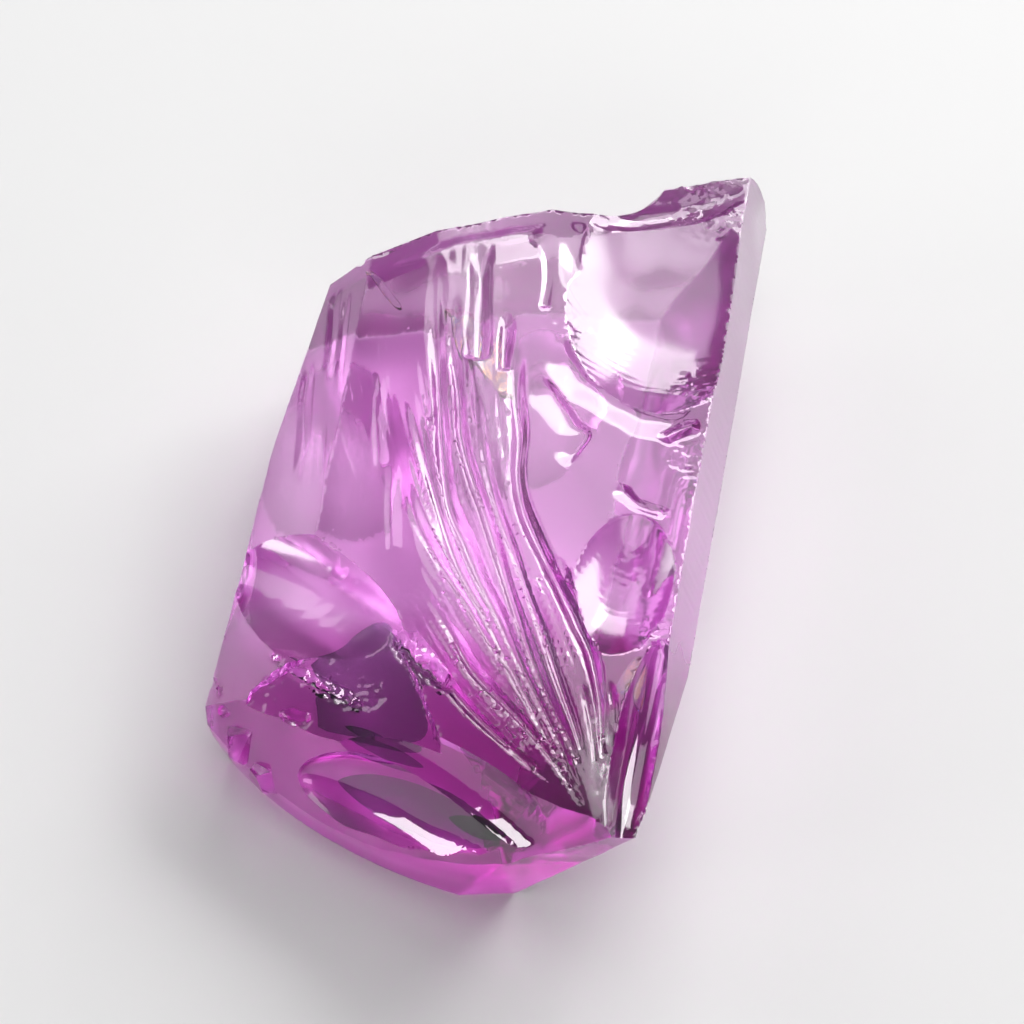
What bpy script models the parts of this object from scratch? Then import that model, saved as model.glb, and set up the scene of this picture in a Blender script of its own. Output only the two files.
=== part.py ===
"""A rough, broken piece of clear pink zircon lying on its flat underside.

It is one solid. The tables are in millimetres and degrees, and the model is in
metres. +Z is up, +Y runs along the piece to its pointed far end, and the origin
is on the resting plane under the middle of the bounding box.

The shape is a block with its flat faces cut one after another, a rounded near
end, shell-shaped hollows where chips broke away, and the long grooves that fan
out from the corner where the top face broke.
"""

import math

import bmesh
import bpy
from mathutils import Matrix, Vector

MM = 0.001

# The block that everything is cut from.
ROUGH_LENGTH = 60.0
ROUGH_WIDTH = 50.0
ROUGH_HEIGHT = 30.0

# Flat faces: where the outward normal points (azimuth from +X towards +Y, then
# elevation above the horizontal), and how far the face is from the origin.
FLAT_FACES = {
    "top_left": (-165.1, 75.3, 10.70),
    "top_right": (-1.7, 87.3, 11.02),
    "left_bevel": (178.9, 52.0, 12.32),
    "top_near_bevel": (-158.9, 72.2, 11.23),
    "frosted_side": (-10.0, 14.0, 11.76),
    "right_undercut": (-11.7, -40.0, 3.81),
    "right_corner_undercut": (-26.0, -30.0, 7.14),
    "near_undercut": (-88.0, -15.0, 16.82),
    "left_far_side": (161.6, -10.0, 10.85),
    "left_near_side": (167.7, -10.0, 10.73),
    "far_left_side": (106.5, 5.0, 15.83),
    "far_side": (105.5, 10.0, 16.68),
    "far_point_side": (97.7, 28.0, 19.89),
    "far_point_bevel": (0.0, 30.0, 17.18),
    "near_slope": (-124.9, 24.0, 16.69),
    "left_undercut": (175.0, -50.0, 7.80),
    "far_undercut": (95.0, -40.0, 9.75),
    "underside": (0.0, -90.0, 0.00),
}

# The near end is part of a wide, slightly leaning cylinder.
NEAR_END_RADIUS = 26.0
NEAR_END_CENTRE = (6.41, 7.53, 0.0)
NEAR_END_LEAN = (-0.140, -0.134, 1.0)
NEAR_END_LENGTH = 60.0
NEAR_END_SEGMENTS = 128

# Shell-shaped hollows, each the print of an ellipsoid: its centre, its radii
# (along, across, deep), where its deep axis points (azimuth, elevation), and
# the azimuth of its long axis.
HOLLOWS = {
    "upper_dish": ((7.32, 12.73, 12.86), (10.4, 6.5, 3.0), -32, 78, -91),
    "rim_dish": ((8.76, 16.58, 13.05), (6.5, 2.3, 3.2), -2, 87, 18),
    "middle_dish": ((5.87, -7.50, 15.26), (8.0, 4.6, 5.2), 28, 79, 75),
    "left_scar": ((-10.55, -5.73, 9.47), (12.0, 3.6, 3.0), 170, 70, -36),
    "end_eye": ((-0.60, -20.02, 8.36), (12.0, 3.4, 2.0), -138, 27, -4),
    "end_hollow": ((-4.59, -17.37, 9.8), (9.8, 3.9, 3.6), -125, 24, -32),
    "far_notch": ((4.46, 18.53, 12.0), (4.4, 2.6, 4.2), 0, 90, 0),
    "edge_chip": ((6.61, -15.72, 14.3), (8.8, 2.0, 4.8), -2, 87, 79),
    "undercut_shell": ((10.86, -1.32, 3.35), (7.5, 3.3, 3.2), -12, -40, 79),
    "far_shell": ((-3.99, 17.53, 6.35), (4.8, 3.3, 2.8), 106, 10, 16),
    "left_shell": ((-13.89, -1.57, 2.9), (6.4, 2.4, 2.4), 168, -10, 78),
    "under_shell_far": ((1.5, 7.0, -2.3), (6.8, 4.2, 3.4), 0, -90, 80),
    "under_shell_left": ((-6.5, 5.2, -2.2), (7.4, 4.4, 3.4), 0, -90, 100),
}
HOLLOW_SEGMENTS = 48
HOLLOW_RINGS = 24

# The fan of grooves on the top: centre, half length, azimuth of the groove.
# They fan out from the near right corner, which is where the break began.
GROOVES = (
    ((-1.49, -9.47, 11.0), 6.1, -61),
    ((-0.24, -10.47, 11.25), 9.8, -66),
    ((-2.74, -2.67, 11.15), 10.2, -74),
    ((-0.74, -5.07, 11.5), 11.0, -73),
    ((-2.54, 3.63, 11.65), 11.7, -82),
    ((1.96, -11.67, 11.75), 9.3, -73),
    ((0.21, -5.37, 11.75), 7.8, -78),
    ((2.06, -6.07, 11.9), 8.0, -76),
    ((1.21, 3.28, 11.95), 7.5, 90),
)
GROOVE_HALF_WIDTH = 0.83
GROOVE_HALF_DEPTH = 1.28
GROOVE_SEGMENTS = 24
GROOVE_RINGS = 16

PINK = (0.62, 0.14, 0.52, 1.0)


def clear_scene():
    for item in list(bpy.data.objects):
        bpy.data.objects.remove(item, do_unlink=True)


def new_collection(name):
    collection = bpy.data.collections.new(name)
    bpy.context.scene.collection.children.link(collection)
    return collection


def pointing(azimuth, elevation):
    """The unit vector at a compass azimuth and an elevation, in degrees."""
    turn = math.radians(azimuth)
    rise = math.radians(elevation)
    flat = math.cos(rise)
    return Vector((flat * math.cos(turn), flat * math.sin(turn), math.sin(rise)))


def turned(deep_azimuth, deep_elevation, long_azimuth):
    """A rotation that sets local Z to the deep axis and local X to the long one."""
    deep = pointing(deep_azimuth, deep_elevation)
    along = pointing(long_azimuth, 0)
    along = (along - deep * along.dot(deep)).normalized()
    across = deep.cross(along)
    return Matrix((along, across, deep)).transposed().to_4x4()


def to_object(name, bm, collection):
    mesh = bpy.data.meshes.new(name)
    bm.to_mesh(mesh)
    bm.free()
    item = bpy.data.objects.new(name, mesh)
    collection.objects.link(item)
    return item


def cut_flat(bm, azimuth, elevation, distance):
    """Cut away what is beyond one flat face, and close the cut."""
    normal = pointing(azimuth, elevation)
    parts = bm.verts[:] + bm.edges[:] + bm.faces[:]
    cut = bmesh.ops.bisect_plane(
        bm,
        geom=parts,
        dist=1e-7,
        plane_co=normal * distance * MM,
        plane_no=normal,
        clear_outer=True,
    )
    rim = [part for part in cut["geom_cut"] if isinstance(part, bmesh.types.BMEdge)]
    if rim:
        bmesh.ops.edgeloop_fill(bm, edges=rim)


def cut_block():
    """The rough block with all its flat faces."""
    bm = bmesh.new()
    bmesh.ops.create_cube(bm, size=1.0)
    size = Vector((ROUGH_WIDTH, ROUGH_LENGTH, ROUGH_HEIGHT)) * MM
    bmesh.ops.scale(bm, vec=size, verts=bm.verts)
    for azimuth, elevation, distance in FLAT_FACES.values():
        cut_flat(bm, azimuth, elevation, distance)
    bmesh.ops.recalc_face_normals(bm, faces=bm.faces)
    return bm


def as_cutter(item):
    item.hide_render = True
    item.display_type = "WIRE"
    return item


def near_end(collection):
    """The leaning cylinder that rounds the near end."""
    bm = bmesh.new()
    lean = Vector(NEAR_END_LEAN).to_track_quat("Z", "Y").to_matrix().to_4x4()
    bmesh.ops.create_cone(
        bm,
        cap_ends=True,
        segments=NEAR_END_SEGMENTS,
        radius1=NEAR_END_RADIUS * MM,
        radius2=NEAR_END_RADIUS * MM,
        depth=NEAR_END_LENGTH * MM,
        matrix=Matrix.Translation(Vector(NEAR_END_CENTRE) * MM) @ lean,
    )
    return as_cutter(to_object("near_end", bm, collection))


def ellipsoid(name, centre, radii, rotation, segments, rings, collection):
    bm = bmesh.new()
    place = Matrix.Translation(Vector(centre) * MM)
    scale = Matrix.Diagonal((radii[0] * MM, radii[1] * MM, radii[2] * MM, 1.0))
    bmesh.ops.create_uvsphere(
        bm,
        u_segments=segments,
        v_segments=rings,
        radius=1.0,
        matrix=place @ rotation @ scale,
    )
    return as_cutter(to_object(name, bm, collection))


def hollows(collection):
    """The shell-shaped hollows left by chips."""
    made = []
    for name, shape in HOLLOWS.items():
        centre, radii, azimuth, elevation, along = shape
        rotation = turned(azimuth, elevation, along)
        item = ellipsoid(name, centre, radii, rotation, HOLLOW_SEGMENTS, HOLLOW_RINGS, collection)
        made.append(item)
    return made


def grooves(collection):
    """The fan of grooves, each lying along the top left face or the top right one."""
    left_face = FLAT_FACES["top_left"]
    right_face = FLAT_FACES["top_right"]
    made = []
    for number, (centre, half_length, along) in enumerate(GROOVES, 1):
        azimuth, elevation, _ = left_face if number < 8 else right_face
        rotation = turned(azimuth, elevation, along)
        radii = (half_length, GROOVE_HALF_WIDTH, GROOVE_HALF_DEPTH)
        name = f"groove_{number}"
        item = ellipsoid(name, centre, radii, rotation, GROOVE_SEGMENTS, GROOVE_RINGS, collection)
        made.append(item)
    return made


def shape_with(item, cutter, operation):
    step = item.modifiers.new(cutter.name, "BOOLEAN")
    step.operation = operation
    step.solver = "EXACT"
    step.object = cutter


def pink_zircon():
    material = bpy.data.materials.new("pink_zircon")
    material.use_nodes = True
    shader = material.node_tree.nodes["Principled BSDF"]
    shader.inputs["Base Color"].default_value = PINK
    shader.inputs["Roughness"].default_value = 0.05
    shader.inputs["Metallic"].default_value = 0.0
    shader.inputs["IOR"].default_value = 1.95
    return material


def build():
    clear_scene()
    pieces = new_collection("zircon_crystal")
    cutters = new_collection("cutters")
    cutters.hide_render = True
    crystal = to_object("crystal", cut_block(), pieces)
    crystal.data.materials.append(pink_zircon())
    shape_with(crystal, near_end(cutters), "INTERSECT")
    for cutter in hollows(cutters) + grooves(cutters):
        shape_with(crystal, cutter, "DIFFERENCE")


build()
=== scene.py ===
"""A broken chunk of clear magenta crystal with its fracture relief, frosting and sealed cracks,
with thin grey and dark films inside as painted reflection and painted shade, and a denser zone as
painted shade at the near end.

It is a function of position: flat faces, a curved end wall and shell-shaped hollows, each with its
own fine relief, turned into a mesh that keeps sharp edges. The tables are in mm and degrees.
"""

import math

import bpy
import numpy as np
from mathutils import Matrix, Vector


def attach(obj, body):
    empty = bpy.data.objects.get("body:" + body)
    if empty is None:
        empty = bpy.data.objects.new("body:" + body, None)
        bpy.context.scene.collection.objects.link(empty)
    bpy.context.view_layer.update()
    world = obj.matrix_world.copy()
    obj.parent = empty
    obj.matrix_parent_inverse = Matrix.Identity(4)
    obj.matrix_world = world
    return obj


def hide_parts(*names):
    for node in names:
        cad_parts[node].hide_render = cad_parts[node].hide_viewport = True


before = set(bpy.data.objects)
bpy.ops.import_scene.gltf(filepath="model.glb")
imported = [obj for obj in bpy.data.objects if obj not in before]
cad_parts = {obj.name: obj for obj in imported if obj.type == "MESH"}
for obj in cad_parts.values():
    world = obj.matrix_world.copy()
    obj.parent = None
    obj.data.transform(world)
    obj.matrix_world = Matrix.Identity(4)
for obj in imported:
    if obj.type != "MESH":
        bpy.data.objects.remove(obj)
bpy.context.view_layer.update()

MM = 0.001
FAR = 1e9

# ---- the plain solid, as the CAD part has it

# name: (azimuth and elevation of the outward normal, distance from the origin)
FACES = {
    "top_left": (-165.1, 75.3, 10.7),
    "top_right": (-1.7, 87.3, 11.02),
    "left_bevel": (178.9, 52.0, 12.32),
    "top_near_bevel": (-158.9, 72.2, 11.23),
    "frosted_side": (-10.0, 14.0, 11.76),
    "right_undercut": (-11.7, -40.0, 3.81),
    "right_corner_undercut": (-26.0, -30.0, 7.14),
    "near_undercut": (-88.0, -15.0, 16.82),
    "left_far_side": (161.6, -10.0, 10.85),
    "left_near_side": (167.7, -10.0, 10.73),
    "far_left_side": (106.5, 5.0, 15.83),
    "far_side": (105.5, 10.0, 16.68),
    "far_point_side": (97.7, 28.0, 19.89),
    "far_point_bevel": (0.0, 30.0, 17.18),
    "near_slope": (-124.9, 24.0, 16.69),
    "left_undercut": (175.0, -50.0, 7.8),
    "far_undercut": (95.0, -40.0, 9.75),
    "underside": (0.0, -90.0, 0.0),
}

# The near end is rounded, part of a wide leaning cylinder.
NEAR_END_RADIUS = 26.0
NEAR_END_CENTRE = (6.41, 7.53, 0.0)
NEAR_END_LEAN = (-0.14, -0.134, 1.0)

# name: (centre, radii along, across and deep, azimuth and elevation of deep, azimuth of along)
HOLLOWS = {
    "upper_dish": ((7.32, 12.73, 12.86), (10.4, 6.5, 3.0), -32, 78, -91),
    "rim_dish": ((8.76, 16.58, 13.05), (6.5, 2.3, 3.2), -2, 87, 18),
    "middle_dish": ((5.87, -7.5, 15.26), (8.0, 4.6, 5.2), 28, 79, 75),
    "left_scar": ((-10.55, -5.73, 9.47), (12.0, 3.6, 3.0), 170, 70, -36),
    "end_eye": ((-0.6, -20.02, 8.36), (12.0, 3.4, 2.0), -138, 27, -4),
    "end_hollow": ((-4.59, -17.37, 9.8), (9.8, 3.9, 3.6), -125, 24, -32),
    "far_notch": ((4.46, 18.53, 12.0), (4.4, 2.6, 4.2), 0, 90, 0),
    "edge_chip": ((6.61, -15.72, 14.3), (8.8, 2.0, 4.8), -2, 87, 79),
    "undercut_shell": ((10.86, -1.32, 3.35), (7.5, 3.3, 3.2), -12, -40, 79),
    "far_shell": ((-3.99, 17.53, 6.35), (4.8, 3.3, 2.8), 106, 10, 16),
    "left_shell": ((-13.89, -1.57, 2.9), (6.4, 2.4, 2.4), 168, -10, 78),
    "under_shell_far": ((1.5, 7.0, -2.3), (6.8, 4.2, 3.4), 0, -90, 80),
    "under_shell_left": ((-6.5, 5.2, -2.2), (7.4, 4.4, 3.4), 0, -90, 100),
}

# ---- relief of the top

FAN_ORIGIN = (4.11, -19.05)

# The hackle fan: steps that spread from the near right corner, from left to right:
# (depth, widths of the right-facing and the left-facing flank, points from the origin outwards)
FAN_LINES = {
    "edge_left": (0.26, 0.4, 0.55, ((2.6, -17.6), (0.6, -15.4), (-1.2, -13.2), (-2.5, -11.3),
        (-3.6, -9.4), (-4.6, -7.4))),
    "low_left": (0.34, 0.46, 0.6, ((3.87, -18.9), (2.67, -16.62), (1.24, -14.29), (-0.45, -11.98),
        (-1.3, -10.78), (-2.07, -9.21), (-2.9, -7.6), (-3.9, -5.9))),
    "left_fork": (0.26, 0.32, 0.5, ((3.8, -18.4), (2.28, -14.84), (1.03, -12.2), (0.19, -10.65),
        (-0.67, -9.19), (-1.54, -7.46), (-2.43, -5.83), (-3.1, -4.58), (-4.0, -2.6), (-4.6, 0.0))),
    "left": (0.32, 0.48, 0.6, ((3.9, -18.3), (2.19, -15.03), (0.85, -11.8), (-0.64, -8.18),
        (-2.03, -5.09), (-3.2, -0.87), (-4.1, 3.18), (-4.75, 5.8))),
    "centre": (0.4, 0.62, 0.7, ((3.7, -18.4), (2.69, -15.25), (1.45, -12.15), (-0.03, -8.31),
        (-0.9, -6.2), (-1.68, -3.93), (-2.48, -1.63), (-2.85, 1.9), (-3.1, 6.3), (-3.28, 10.5),
        (-3.1, 13.9))),
    "twin": (0.34, 0.46, 0.6, ((4.0, -18.0), (3.1, -15.15), (2.29, -13.18), (1.57, -11.01),
        (0.53, -7.45), (-0.07, -5.06), (-0.68, -2.65), (-1.31, -0.6), (-1.92, 2.1), (-2.07, 4.39),
        (-2.4, 7.26), (-2.38, 10.0), (-2.27, 13.8))),
    "inner": (0.26, 0.34, 0.5, ((4.05, -17.4), (3.4, -14.6), (2.75, -12.4), (2.02, -9.65),
        (1.3, -7.34), (0.63, -5.01), (-0.04, -2.79), (-0.62, -0.4), (-0.95, 2.2), (-1.05, 5.0))),
    "right": (0.38, 0.6, 0.5, ((4.6, -16.9), (4.6, -13.6), (4.2, -10.6), (3.51, -8.68),
        (2.87, -7.09), (2.24, -5.61), (1.6, -3.97), (1.05, -2.21), (0.84, -0.38), (0.94, 1.8),
        (0.8, 4.88), (1.05, 8.22))),
    "broad": (0.42, 0.95, 0.6, ((-1.1, 6.2), (-1.05, 8.2), (-0.95, 11.2), (-0.92, 14.15))),
    "short_right": (0.16, 0.34, 0.5, ((0.1, 5.6), (0.2, 7.8), (0.35, 9.6))),
    "far_left": (0.05, 0.3, 0.6, ((-5.9, 0.6), (-6.1, 3.4), (-6.0, 7.1))),
    "mid_left": (0.05, 0.3, 0.6, ((-5.2, -4.2), (-5.35, -1.2), (-5.2, 1.7))),
    "corner": (0.16, 0.34, 0.5, ((4.45, -18.2), (5.0, -15.6), (5.15, -13.6), (4.95, -11.8))),
    "far_right": (0.07, 0.32, 0.6, ((2.1, 9.6), (2.35, 11.8), (2.25, 14.3))),
    "apex_left": (0.2, 0.42, 0.45, ((4.2, -18.3), (4.3, -16.4), (4.1, -14.0), (3.75, -12.0))),
    "apex_right": (0.2, 0.42, 0.45, ((4.35, -18.2), (4.8, -16.2), (4.85, -14.2), (4.65, -12.2))),
}

# How deep the steps are against the depths above. The height of the scratches between them, which
# open over this length, and sooner with more opening.
FAN_RELIEF = 1.15
HACKLE_HEIGHT = 0.026
FAN_OPENING = 1.18
FAN_LENGTH = 25.0

# Every flank narrows towards the origin, from this far out and to this share, and fades away where
# it is thinner than this.
FAN_FULL_WIDTH_FROM = 9.0
FAN_NARROWEST = 0.36
THINNEST_FLANK = 0.08

# A curve has this many points, and the finer strands start this many up from the fan's origin.
CURVE_POINTS = 48
STRAND_START = 10

# Finer strands between two steps: (left step, right step, how many, depth, flank width)
FAN_STRANDS = (
    ("edge_left", "low_left", 2, 0.12, 0.3),
    ("low_left", "left_fork", 2, 0.12, 0.3),
    ("left_fork", "left", 1, 0.12, 0.28),
    ("left", "centre", 2, 0.12, 0.26),
    ("centre", "twin", 1, 0.12, 0.26),
    ("twin", "inner", 1, 0.1, 0.26),
    ("inner", "right", 3, 0.09, 0.28),
)

# Curved steps between fracture shells: (height, width of the step, soft side width, points)
LEDGES = (
    (0.16, 0.4, 1.8, ((2.8, 8.2), (3.42, 6.71), (4.07, 5.49), (5.03, 4.7), (6.16, 3.82),
        (7.12, 3.35), (8.66, 3.1), (9.91, 3.85))),
    (0.14, 0.3, 1.6, ((1.75, 5.6), (2.74, 4.21), (3.62, 2.62), (4.2, 1.9), (3.5, 0.63),
        (2.9, -0.24))),
    (0.18, 0.3, 1.4, ((4.38, 15.5), (4.02, 14.04), (4.04, 12.72), (4.55, 11.3))),
    (0.16, 0.26, 1.3, ((5.2, 12.0), (5.86, 12.46), (6.9, 13.38), (8.21, 14.42), (9.2, 15.86),
        (10.03, 17.34))),
    (0.1, 0.12, 0.8, ((8.0, 10.5), (9.0, 11.71), (9.78, 12.42), (10.58, 13.67), (11.29, 14.93),
        (12.02, 16.26))),
    (0.22, 0.2, 1.2, ((2.6, -5.2), (3.9, -7.6), (5.58, -8.79), (7.91, -8.72))),
    (0.14, 0.16, 0.9, ((7.65, 1.75), (8.66, 2.6), (9.8, 2.9))),
    (0.12, 0.14, 0.7, ((5.6, -0.9), (6.7, -2.1), (8.2, -2.6))),
    (0.24, 0.14, 2.2, ((-4.2, 12.9), (-2.3, 14.0), (-0.6, 14.45), (1.2, 14.95), (2.6, 15.2))),
)

# Facets sunk below the top: (depth at the first corner, change of depth per mm in x and y, corners)
SUNK_FACETS = (
    (0.2, -0.045, -0.105, ((-5.3, -7.3), (-11.8, -10.0), (-13.5, -13.5), (-2.6, -15.0),
        (-2.3, -12.2), (-3.7, -10.1), (-4.9, -8.4))),
)

# Narrow clefts in the surface: (depth, half width, points)
CLEFTS = (
    (0.7, 0.26, ((-5.22, -8.11), (-4.5, -9.0), (-3.7, -10.09), (-2.84, -11.01), (-2.36, -12.2))),
    (0.3, 0.18, ((-10.36, -9.15), (-9.3, -9.68), (-8.25, -10.38), (-7.2, -11.15), (-6.24, -11.82))),
    (0.35, 0.2, ((-12.54, -7.55), (-11.14, -8.43), (-10.28, -9.25))),
    (0.3, 0.18, ((-10.46, -11.18), (-9.65, -11.65), (-8.8, -11.8))),
)

# Grooves of the left bevel: (depth, half width, points)
BEVEL_GROOVES = (
    (0.12, 0.22, ((-8.3, 13.2), (-8.55, 11.6), (-8.55, 10.4), (-8.65, 8.6), (-8.9, 6.4))),
    (0.08, 0.16, ((-7.75, 12.6), (-7.95, 10.6), (-8.1, 8.2), (-8.15, 5.2))),
    (0.1, 0.26, ((-9.6, 9.4), (-9.9, 6.6), (-9.9, 3.4), (-10.3, 0.6))),
)

# Fine rings in the hollows, name: (centre, inner and outer radius, width of a ring, height)
RIPPLES = {
    "upper_dish": ((9.2, 13.6), 5.6, 9.9, 0.42, 0.006),
    "middle_dish": ((7.2, -2.6), 2.6, 6.6, 0.42, 0.006),
    "left_scar": ((-10.6, 2.5), 6.2, 12.0, 0.9, 0.008),
    "end_eye": ((-6.0, -12.0), 6.5, 12.0, 0.7, 0.008),
    "end_hollow": ((-4.0, -9.0), 7.0, 13.0, 0.6, 0.008),
    "rim_dish": ((7.0, 22.0), 3.0, 9.0, 0.5, 0.012),
}

# Crumbly patches of the top: (centre, radius, height)
CRUMBLES = (
    ((9.9, 5.4), 1.6, 0.05),
    ((10.8, 16.8), 2.0, 0.07),
    ((7.4, -9.4), 1.2, 0.05),
    ((9.2, 0.6), 1.1, 0.03),
    ((-8.7, -9.5), 0.8, 0.04),
    ((-7.5, -10.2), 0.8, 0.04),
    ((-6.3, -11.0), 0.8, 0.04),
    ((-12.2, -9.6), 1.8, 0.04),
    ((3.6, 8.9), 0.9, 0.03),
    ((6.4, -5.6), 1.6, 0.02),
)


def unit(azimuth, elevation=0.0):
    """The unit vector that points to this azimuth and elevation."""
    turn, rise = math.radians(azimuth), math.radians(elevation)
    level = math.cos(rise)
    return np.array([math.cos(turn) * level, math.sin(turn) * level, math.sin(rise)])


def lengths(vectors):
    return np.linalg.norm(vectors, axis=1)


def smooth(x):
    """0 below 0, 1 above 1, and an S between."""
    x = np.clip(x, 0.0, 1.0)
    return x * x * (3.0 - 2.0 * x)


def swell(points, wavelength, seed, waves=6):
    """Soft bumps about one wavelength apart, between about -1 and 1."""
    rng = np.random.default_rng(seed)
    ways = rng.normal(size=(waves, points.shape[1]))
    ways /= lengths(ways)[:, None]
    ways *= (2 * math.pi / wavelength * rng.uniform(0.7, 1.5, waves))[:, None]
    return np.sin(points @ ways.T + rng.uniform(0, 2 * math.pi, waves)).mean(axis=1) * 1.6


def striae(along, wavelength, seed):
    """Uneven parallel scratches across one coordinate, between about -1 and 1."""
    return swell(along[:, None], wavelength, seed, waves=7)


def curve_through(points, per_span=8, closed=False):
    """Points along one smooth curve through the given ones."""
    p = np.array(points, float)
    if closed:
        p = np.vstack([p, p[:1]])
        ends = np.vstack([p[-2:-1], p, p[1:2]])
    else:
        ends = np.vstack([2 * p[0] - p[1], p, 2 * p[-1] - p[-2]])
    t = np.linspace(0, 1, per_span, endpoint=False)[:, None]
    spans = []
    for a, b, c, d in zip(ends, ends[1:], ends[2:], ends[3:]):
        spans.append(0.5 * (2 * b + (c - a) * t + (2 * a - 5 * b + 4 * c - d) * t ** 2
                            + (3 * b - a - 3 * c + d) * t ** 3))
    return np.vstack(spans if closed else spans + [p[-1:]])


def resampled(line, count=CURVE_POINTS):
    """The same curve as evenly spaced points."""
    passed = np.concatenate([[0], np.cumsum(lengths(np.diff(line, axis=0)))])
    places = np.linspace(0, passed[-1], count)
    return np.stack([np.interp(places, passed, line[:, k]) for k in range(line.shape[1])], axis=1)


def along_and_beside(xy, line, reach):
    """Which points are near the line, the share of it passed, and how far they lie to its right."""
    near = ((xy > line.min(0) - reach) & (xy < line.max(0) + reach)).all(axis=1)
    xy = xy[near]
    starts, steps = line[:-1], np.diff(line, axis=0)
    long = lengths(steps)
    passed = np.concatenate([[0], np.cumsum(long)])
    best = np.full(len(xy), FAR)
    side, share = np.zeros(len(xy)), np.zeros(len(xy))
    for start, step, length, before in zip(starts, steps, long, passed):
        offset = xy - start
        t = np.clip(offset @ step / length ** 2, 0, 1)
        gap = offset - t[:, None] * step
        distance = np.hypot(gap[:, 0], gap[:, 1])
        nearer = distance < best
        best[nearer] = distance[nearer]
        cross = offset[:, 0] * step[1] - offset[:, 1] * step[0]
        side[nearer] = np.sign(cross[nearer])
        share[nearer] = (before + t[nearer] * length) / passed[-1]
    return near, share, best * np.where(side == 0, 1, side)


def lobe(x, y, radius_x, radius_y):
    """A soft patch: 1 where x and y are 0."""
    return np.exp(-(x / radius_x) ** 2 - (y / radius_y) ** 2)


def fade_ends(share, first, last):
    """Rises from 0 over the first part of a line and falls to 0 over the last."""
    return smooth(share / first) * smooth((1 - share) / last)


def off_centre(points, centre):
    return np.hypot(points[:, 0] - centre[0], points[:, 1] - centre[1])


def crumbs(points, reach, height):
    """Sharp little lumps that end about where the reach is 1."""
    lumps = np.abs(swell(points, 0.75, 51, 8)) + 0.5 * np.abs(swell(points, 0.42, 52, 8))
    return height * lumps * smooth((1.15 - reach) / 0.4)


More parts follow.
